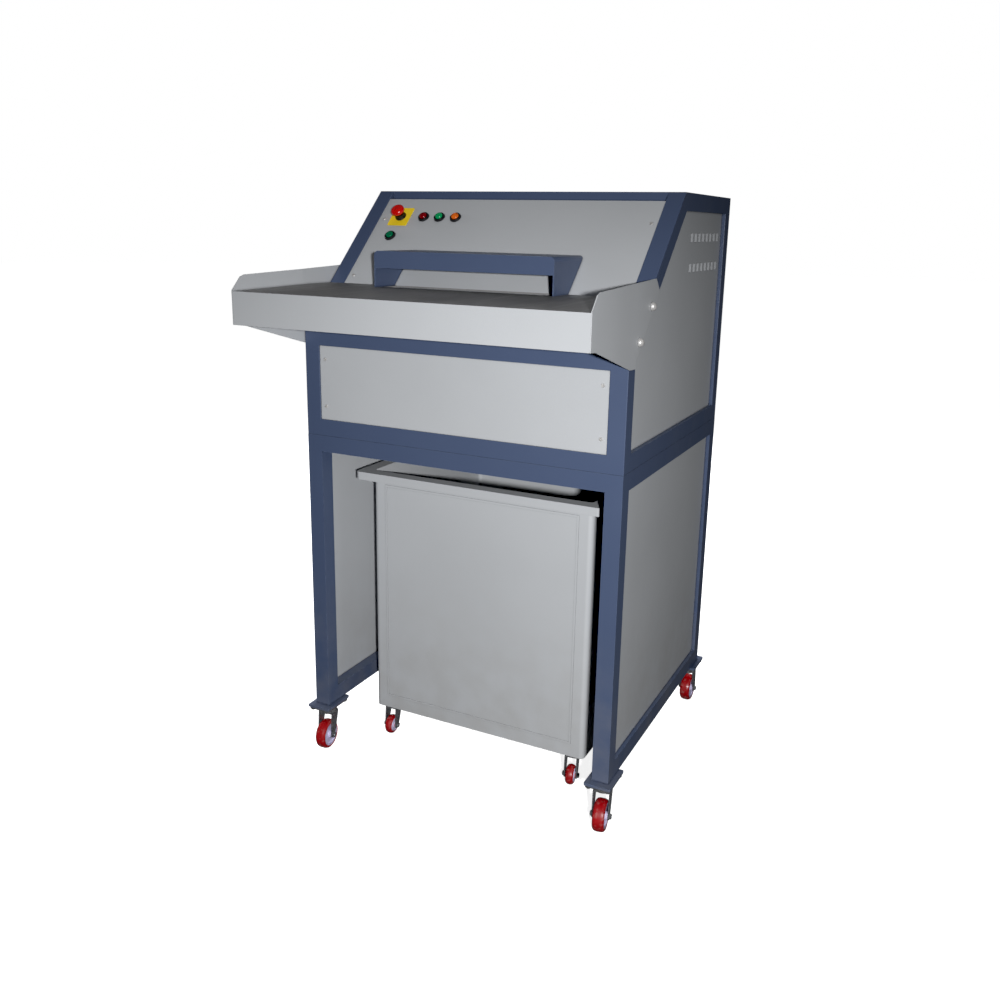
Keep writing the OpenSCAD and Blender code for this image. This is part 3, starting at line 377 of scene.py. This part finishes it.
BLUE = (0.074, 0.100, 0.174)
GREY = (0.490, 0.506, 0.526)
LOOKS = {
    "frame_blue": powder_coat("frame_powder_coat", BLUE, 0.40, wear=(0.13, 0.17, 0.26)),
    "panel_grey": powder_coat("panel_powder_coat", GREY, 0.46, fold=0.0008),
    # The tray floor's charcoal is painted shade: the sheet is light grey but lit at a grazing angle
    "deck_grey": shaded_worn_paint("tray_floor_shade_and_wear", (0.220, 0.217, 0.218)),
    "bare_steel": machined("bright_steel", (0.66, 0.65, 0.64), 0.30, (1, 1, 0.05), 0.2, 0.45),
    "tool_steel": machined("ground_tool_steel", (0.44, 0.44, 0.45), 0.26, (0.2, 1, 1)),
    "zinc": zinc_plate("zinc_plate"),
    "cast_grey": powder_coat("machine_enamel", (0.12, 0.13, 0.14), 0.36, grain=240, depth=0.0004),
    "box_grey": powder_coat("enclosure_paint", (0.62, 0.63, 0.61), 0.45),
    "black_plastic": moulded("black_nylon", (0.014, 0.014, 0.016), 0.42),
    "yellow_plastic": moulded("yellow_legend_plate", (1.0, 0.74, 0.04), 0.38, coat=0.2),
    "red_plastic": moulded("red_button_plastic", (0.62, 0.012, 0.010), 0.24, coat=0.5),
    "lamp_red_lens": lens_plastic("red_lens", (0.24, 0.006, 0.010)),
    "lamp_green_lens": lens_plastic("green_lens", (0.012, 0.36, 0.12)),
    "lamp_orange_lens": lens_plastic("orange_lens", (0.86, 0.17, 0.02)),
    "green_plastic": moulded("green_button_plastic", (0.006, 0.17, 0.075), 0.25, coat=0.5),
    "hub_lilac": moulded("hub_nylon", (0.60, 0.56, 0.76), 0.36, coat=0.2),
    "wheel_red": wheel_tread("wheel_polyurethane", (0.37, 0.013, 0.016)),
}


def dress(obj, slot):
    """Gives an object the look of one of the record's material slots."""
    obj.data.materials.clear()
    obj.data.materials.append(LOOKS[slot])


def paint_cad():
    """Gives every CAD node the look of the slot that the record names for it."""
    for part in RECORD["subparts"]:
        node = NODES[part["node"]]
        look = LOOKS[part["material_slot"]]
        if not node.data.materials:
            node.data.materials.append(look)
        for i in range(len(node.material_slots)):
            node.material_slots[i].material = look


# Points closer than MERGE are joined, and edges sharper than SHARP_ANGLE (degrees) take these radii
MERGE = 0.00002
SHARP_ANGLE = 35
CORNER_STEPS = 3
TUBE_CORNER = 0.0022
HOOD_CORNER = 0.0012


def soften(names, width):
    """Rolls the sharp edges of CAD nodes over, as paint and folding do."""
    for name in names:
        node = NODES[name]
        weld = node.modifiers.new("weld", "WELD")
        weld.merge_threshold = MERGE
        bevel = node.modifiers.new("edges", "BEVEL")
        bevel.width = width
        bevel.segments = CORNER_STEPS
        bevel.limit_method = "ANGLE"
        bevel.angle_limit = math.radians(SHARP_ANGLE)
        bevel.harden_normals = False


paint_cad()
soften(["machine_frame", "stand_frame"], TUBE_CORNER)
soften(["feed_hood"], HOOD_CORNER)


# ---- mesh helpers ----


def add_piece(name, bm, body, slot, smooth=True):
    """Turns a bmesh in the CAD frame into a piece that rides on a body."""
    mesh = bpy.data.meshes.new(name)
    bm.to_mesh(mesh)
    bm.free()
    for polygon in mesh.polygons:
        polygon.use_smooth = smooth
    obj = bpy.data.objects.new(name, mesh)
    bpy.context.scene.collection.objects.link(obj)
    dress(obj, slot)
    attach(obj, body)
    return obj


def frame_at(origin, direction, up=Vector((0, 0, 1))):
    """A matrix whose Z runs along direction, at origin."""
    z = direction.normalized()
    x = up.cross(z)
    if x.length < 1e-6:
        x = Vector((1, 0, 0))
    x.normalize()
    y = z.cross(x)
    m = Matrix((x, y, z)).transposed().to_4x4()
    m.translation = origin
    return m


def arc(centre, radii, start=0, end=90, steps=8):
    """(radius, height) points along part of an ellipse, its angles in degrees."""
    points = []
    for i in range(steps + 1):
        angle = math.radians(start + (end - start) * i / steps)
        points.append((centre[0] + radii[0] * math.cos(angle), centre[1] + radii[1] * math.sin(angle)))
    return points


def lathe(bm, profile, matrix, steps=32):
    """Spins (radius, height) points about the matrix's Z axis; a third number cuts ribs that deep."""
    rings = []
    for radius, height, *rib in profile:
        if radius < 1e-9:
            rings.append([bm.verts.new(matrix @ Vector((0, 0, height)))])
            continue
        depth = rib[0] if rib else 0
        ring = []
        for i in range(steps):
            a = 2 * math.pi * i / steps
            r = radius - depth * (i % 2)
            ring.append(bm.verts.new(matrix @ Vector((r * math.cos(a), r * math.sin(a), height))))
        rings.append(ring)
    for low, high in zip(rings, rings[1:]):
        for i in range(steps):
            j = (i + 1) % steps
            if len(low) == 1:
                bm.faces.new((low[0], high[j], high[i]))
            elif len(high) == 1:
                bm.faces.new((low[i], low[j], high[0]))
            else:
                bm.faces.new((low[i], low[j], high[j], high[i]))


def block(bm, low, high):
    """A box between two corners."""
    made = bmesh.ops.create_cube(bm, size=1)["verts"]
    for vert in made:
        for i in range(3):
            vert.co[i] = low[i] if vert.co[i] < 0 else high[i]


# ---- weld beads ----


# A bead's size, the length of one ripple, and how far its ends stop short of the tube's edges
WELD_RADIUS = 0.0028
WELD_RIPPLE = 0.0022
WELD_INSET = 0.004


def bead(bm, a, b, rng):
    """A rippled weld bead from a to b."""
    along = b - a
    matrix = frame_at(a, along)
    steps = max(int(along.length / WELD_RIPPLE), 6)
    sides = 8
    rings = []
    for i in range(steps + 1):
        t = i / steps
        taper = min(1.0, 6 * t + 0.35, 6 * (1 - t) + 0.35)
        swell = WELD_RADIUS * taper * (0.88 + 0.16 * (i % 2) + rng.uniform(-0.06, 0.06))
        drift = rng.uniform(-0.12, 0.12) * WELD_RADIUS
        ring = []
        for k in range(sides):
            angle = 2 * math.pi * k / sides
            offset = Vector((swell * math.cos(angle) + drift, swell * math.sin(angle), t * along.length))
            ring.append(bm.verts.new(matrix @ offset))
        rings.append(ring)
    for low, high in zip(rings, rings[1:]):
        for k in range(sides):
            bm.faces.new((low[k], low[(k + 1) % sides], high[(k + 1) % sides], high[k]))
    bm.faces.new(list(reversed(rings[0])))
    bm.faces.new(rings[-1])


def weld_beads():
    """Fillet welds in the inner corners where rails meet posts."""
    rng = random.Random(4)
    bm = bmesh.new()
    split = FRAME_LOW.z
    inner = HALF_W - TUBE
    start, end = FRONT_Y + WELD_INSET, FRONT_Y + TUBE - WELD_INSET
    outer_end, inner_end = HALF_W - WELD_INSET, inner + WELD_INSET
    front_levels = (split, split + TUBE, SILL_Z - TUBE, SILL_Z, split - TUBE)
    side_levels = (split - TUBE, split + TUBE, STAND_LOW.z + FOOT_PLATE + TUBE)
    for side in (-1, 1):
        for z in front_levels:
            bead(bm, Vector((side * inner, start, z)), Vector((side * inner, end, z)), rng)
        for y in (FRONT_Y + TUBE, BACK_Y - TUBE):
            for z in side_levels:
                bead(bm, Vector((side * outer_end, y, z)), Vector((side * inner_end, y, z)), rng)
    return add_piece("frame_welds", bm, "machine", "frame_blue")


weld_beads()


# ---- seam between the frames ----


def seam_shade_line():
    """A black strip that stands for the shaded gap where the machine sits on its stand: painted shade showing as a
    thin dark line.
    """
    bm = bmesh.new()
    depth = 0.0003
    half = 0.0009
    thick = 0.0014
    z0 = FRAME_LOW.z - half
    z1 = FRAME_LOW.z + half
    x1 = HALF_W - depth
    y0 = FRONT_Y + depth
    y1 = BACK_Y - depth
    for side in (-1, 1):
        xs = sorted((side * x1, side * (x1 - thick)))
        block(bm, (xs[0], y0, z0), (xs[1], y1, z1))
    block(bm, (-x1, y0, z0), (x1, y0 + thick, z1))
    block(bm, (-x1, y1 - thick, z0), (x1, y1, z1))
    return add_piece("frame_seam_shade_line", bm, "machine", "black_plastic", smooth=False)


seam_shade_line()


# ---- bolts ----


def hex_head(bm, place, direction, radius, height):
    """A chamfered hexagon head on a washer, pointing in a direction."""
    matrix = frame_at(place, direction, Vector((1, 0, 0)))
    washer = 0.0012
    washer_radius = radius * 1.4
    top_radius = radius * 0.86
    corner_height = height * 0.82
    lathe(bm, [(0, 0), (washer_radius, 0), (washer_radius, washer), (0, washer)], matrix, 28)
    lathe(bm, [(0, washer), (radius, washer), (radius, corner_height), (top_radius, height), (0, height)],
          matrix, 6)


def shank(bm, place, direction, radius, length):
    """A bolt's plain shank with a chamfered end."""
    matrix = frame_at(place, direction, Vector((1, 0, 0)))
    chamfer = 0.0006
    lathe(bm, [(0, 0), (radius, 0), (radius, length - chamfer), (radius - chamfer, length), (0, length)],
          matrix, 20)


# The caster plates' sides, the half spacings of their holes, and their thickness
STAND_PLATE = (0.060, 0.086)
STAND_HOLES = (0.023, 0.036)
BIN_PLATE = (0.046, 0.058)
BIN_HOLES = (0.016, 0.022)
PLATE_THICK = 0.005
# The plates' bolts: the shanks' radius and the heads' height
BOLT_SHANK = 0.00315
HEX_HEIGHT = 0.0050


def plate_bolts(name, node, size, holes, radius, body):
    """Bolts up through the holes of four caster plates of one size, at the corners of a node."""
    low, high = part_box(node)
    bm = bmesh.new()
    up = Vector((0, 0, 1))
    for x in (low.x + size[0] / 2, high.x - size[0] / 2):
        for y in (low.y + size[1] / 2, high.y - size[1] / 2):
            for sx, sy in ((-1, -1), (-1, 1), (1, -1), (1, 1)):
                place = Vector((x + sx * holes[0], y + sy * holes[1], high.z - PLATE_THICK))
                hex_head(bm, place, -up, radius, HEX_HEIGHT)
                shank(bm, place, up, BOLT_SHANK, PLATE_THICK)
    return add_piece(name, bm, body, "zinc", smooth=False)


def cheek_domes():
    """Bright domed heads of the bolts through the tray's side cheeks."""
    bm = bmesh.new()
    low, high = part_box("cheek_bolts")
    grip = 0.006
    shank_radius = 0.0040
    radius = 0.0092
    collar = 0.0022
    dome = 0.0086
    profile = [(0, -grip), (shank_radius, -grip), (shank_radius, 0), (radius, 0)]
    profile += arc((0, collar), (radius, dome))
    run = SLOPE_UP * BOLT_ALONG[0] - SLOPE_NORMAL * BOLT_IN
    step = SLOPE_UP * (BOLT_ALONG[1] - BOLT_ALONG[0])
    for side, x in ((1, high.x), (-1, low.x)):
        for i in range(2):
            place = Vector((x - side * BOLT_HEAD, FRONT_Y, SILL_Z)) + run + step * i
            matrix = frame_at(place, Vector((side, 0, 0)))
            lathe(bm, profile, matrix, 40)
    piece = add_piece("cheek_bolt_domes", bm, "machine", "bare_steel")
    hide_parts("cheek_bolts")
    return piece


plate_bolts("stand_caster_bolts", "caster_plates", STAND_PLATE, STAND_HOLES, 0.0056, "machine")
plate_bolts("bin_caster_bolts", "bin_caster_plates", BIN_PLATE, BIN_HOLES, 0.0052, "bin")
cheek_domes()


# ---- bin wheel hubs ----


def hub_faces(name, wheel):
    """Pale hub discs in both faces of one of the bin's small wheels."""
    low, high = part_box(wheel)
    centre = (low + high) / 2
    axis = joint_axis("child", wheel)
    tread_half = 0.010
    deep = -0.0060
    bore = 0.0046
    boss = 0.0014
    rim = 0.0172
    profile = [(bore, deep), (rim, deep), (rim, 0.0004), (rim - 0.0016, 0.0010), (rim - 0.0032, 0.0002),
               (0.0105, -0.0008), (0.0088, 0.0006), (0.0080, boss), (bore, boss), (bore, deep)]
    bm = bmesh.new()
    for side in (1, -1):
        lathe(bm, profile, frame_at(centre + axis * side * tread_half, axis * side), 40)
    bmesh.ops.remove_doubles(bm, verts=bm.verts, dist=1e-6)
    return add_piece(name, bm, wheel, "hub_lilac")


for corner in ("fl", "fr", "bl", "br"):
    hub_faces("bin_hub_" + corner, "bin_caster_" + corner + "_wheel")


# ---- controls ----


def on_slope(node, along, deep):
    """Where a round control's axis meets the panel, `along` up the slope; Z points out of it."""
    low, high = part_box(node)
    place = Vector(((low.x + high.x) / 2, FRONT_Y, SILL_Z)) + SLOPE_UP * along - SLOPE_NORMAL * deep
    return frame_at(place, SLOPE_NORMAL, Vector((1, 0, 0)))


def ribbed_lens(name, node, slot):
    """A domed lens with fine ribs round its edge."""
    bm = bmesh.new()
    radius = 0.0094
    sunk = -0.012
    shoulder = 0.0068
    rise = 0.0037
    rib = 0.0002
    flat = radius * 0.3
    profile = [(0, sunk), (radius, sunk), (radius, shoulder - 0.0008)]
    edge = ((flat, shoulder), (radius - flat, rise))
    profile += [(*point, rib) for point in arc(*edge, 0, 33, 3)]
    profile += arc(*edge, 44, 90, 4)
    profile += [(0, shoulder + rise)]
    lathe(bm, profile, on_slope(node, CONTROL_ALONG, 0.002), 72)
    piece = add_piece(name, bm, "machine", slot)
    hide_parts(node)
    return piece


def mushroom_cap():
    """The emergency stop's cap: a gripping rim, a domed shoulder and a dished thumb rest."""
    bm = bmesh.new()
    stem = 0.0092
    sunk = -0.006
    radius = 0.0170
    under = 0.0165
    shoulder = 0.0206
    rise = 0.0088
    dish = 0.0060
    rib = 0.0005
    profile = [(0, sunk), (stem, sunk), (stem, under), (radius - 0.0012, under)]
    profile += [(radius - 0.0001, under + 0.0009, rib), (radius, shoulder, rib)]
    profile += arc((dish, shoulder), (radius - dish, rise), 12, 90, 7)
    profile += [(dish * 0.6, shoulder + rise - 0.0005), (0, shoulder + rise - 0.0008)]
    lathe(bm, profile, on_slope("estop_button", CONTROL_ALONG, 0.0005), 72)
    piece = add_piece("estop_cap", bm, "estop", "red_plastic")
    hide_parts("estop_button")
    return piece


# ---- floor and light ----

FLOOR_RADIUS = 30
# The floor's glow rises from the first value to the second between these distances from the middle
GLOW_REACH = (0.7, 2.4)
GLOW = (0.86, 1.0)
SKY_TINT = (0.95, 0.97, 1, 1)
SKY_DIFFUSE = 0.012
SKY_MIRRORED = 0.09


def make_floor():
    """A wide pale disc that brightens away from the object, like a lit studio sweep."""
    bm = bmesh.new()
    bmesh.ops.create_circle(bm, cap_ends=True, segments=96, radius=FLOOR_RADIUS)
    mesh = bpy.data.meshes.new("floor")
    bm.to_mesh(mesh)
    bm.free()
    floor = bpy.data.objects.new("floor", mesh)
    bpy.context.scene.collection.objects.link(floor)
    mat = bpy.data.materials.new("studio_floor")
    mat.use_nodes = True
    tree = mat.node_tree
    shader = tree.nodes["Principled BSDF"]
    shader.inputs["Base Color"].default_value = (0.80, 0.80, 0.80, 1)
    shader.inputs["Roughness"].default_value = 0.9
    shader.inputs["Specular IOR Level"].default_value = 0.0
    shader.inputs["Emission Color"].default_value = (1, 1, 1, 1)
    place = tree.nodes.new("ShaderNodeTexCoord")
    length = tree.nodes.new("ShaderNodeVectorMath")
    length.operation = "LENGTH"
    spread = tree.nodes.new("ShaderNodeMapRange")
    spread.interpolation_type = "SMOOTHSTEP"
    spread.inputs["From Min"].default_value = GLOW_REACH[0]
    spread.inputs["From Max"].default_value = GLOW_REACH[1]
    spread.inputs["To Min"].default_value = GLOW[0]
    spread.inputs["To Max"].default_value = GLOW[1]
    tree.links.new(place.outputs["Object"], length.inputs[0])
    tree.links.new(length.outputs["Value"], spread.inputs["Value"])
    tree.links.new(spread.outputs["Result"], shader.inputs["Emission Strength"])
    floor.data.materials.append(mat)
    # The sweep is bright to look at but throws no light up onto the object
    floor.visible_diffuse = False
    floor.visible_glossy = False


def make_world():
    """White behind the object, with a dimmer even light from all round."""
    world = bpy.data.worlds.new("studio")
    bpy.context.scene.world = world
    world.use_nodes = True
    tree = world.node_tree
    tree.nodes.clear()
    out = tree.nodes.new("ShaderNodeOutputWorld")
    seen = tree.nodes.new("ShaderNodeBackground")
    seen.inputs["Color"].default_value = (1, 1, 1, 1)
    seen.inputs["Strength"].default_value = 1.0
    lit = tree.nodes.new("ShaderNodeBackground")
    lit.inputs["Color"].default_value = SKY_TINT
    lit.inputs["Strength"].default_value = SKY_DIFFUSE
    mirrored = tree.nodes.new("ShaderNodeBackground")
    mirrored.inputs["Color"].default_value = SKY_TINT
    mirrored.inputs["Strength"].default_value = SKY_MIRRORED
    path = tree.nodes.new("ShaderNodeLightPath")
    soft = tree.nodes.new("ShaderNodeMixShader")
    tree.links.new(path.outputs["Is Glossy Ray"], soft.inputs["Fac"])
    tree.links.new(lit.outputs[0], soft.inputs[1])
    tree.links.new(mirrored.outputs[0], soft.inputs[2])
    mix = tree.nodes.new("ShaderNodeMixShader")
    tree.links.new(path.outputs["Is Camera Ray"], mix.inputs["Fac"])
    tree.links.new(soft.outputs[0], mix.inputs[1])
    tree.links.new(seen.outputs[0], mix.inputs[2])
    tree.links.new(mix.outputs[0], out.inputs["Surface"])


def hang(data, place, target):
    """Puts a light at a place, pointing at a target."""
    light = bpy.data.objects.new(data.name, data)
    light.location = place
    light.rotation_mode = "QUATERNION"
    light.rotation_quaternion = (Vector(target) - Vector(place)).to_track_quat("-Z", "Y")
    bpy.context.scene.collection.objects.link(light)
    return light


def area_light(name, place, target, size, power):
    """A round soft light that leaves no reflection."""
    data = bpy.data.lights.new(name, "AREA")
    data.shape = "DISK"
    data.size = size
    data.energy = power
    hang(data, place, target).visible_glossy = False


def spot_light(name, place, target, angle, radius, power):
    """A lamp that fades smoothly from the middle of its beam to the edge."""
    data = bpy.data.lights.new(name, "SPOT")
    data.spot_size = math.radians(angle)
    data.spot_blend = 1.0
    data.shadow_soft_size = radius
    data.energy = power
    hang(data, place, target)


def make_lights():
    """A hard light to the right of the camera, and soft ones above, to the left and behind."""
    middle = (0, 0, 0.85)
    key_place = (1.46, FRONT_Y - 2.25, 1.40)
    key_target = (-0.05, FRONT_Y + 0.1, 0.40)
    spot_light("key", key_place, key_target, angle=68, radius=0.04, power=360)
    area_light("overhead", (0.0, 0.2, 4.2), (0, 0, 0.5), size=3.0, power=12)
    area_light("left_fill", (-3.4, 0.4, 1.6), middle, size=2.0, power=75)
    area_light("rear_fill", (-1.0, 3.4, 2.2), middle, size=2.5, power=150)


# Light values up to this one are shown black
BLACK_LEVEL = 0.010


def set_contrast():
    """Plain colours with the deepest shadows pressed to black, as hard frontal light leaves them."""
    view = bpy.context.scene.view_settings
    view.view_transform = "Standard"
    view.use_curve_mapping = True
    view.curve_mapping.black_level = [BLACK_LEVEL] * 3
    view.curve_mapping.update()


mushroom_cap()
ribbed_lens("red_lamp_lens", "lamp_red", "lamp_red_lens")
ribbed_lens("green_lamp_lens", "lamp_green", "lamp_green_lens")
ribbed_lens("orange_lamp_lens", "lamp_orange", "lamp_orange_lens")
make_floor()
make_world()
make_lights()
set_contrast()
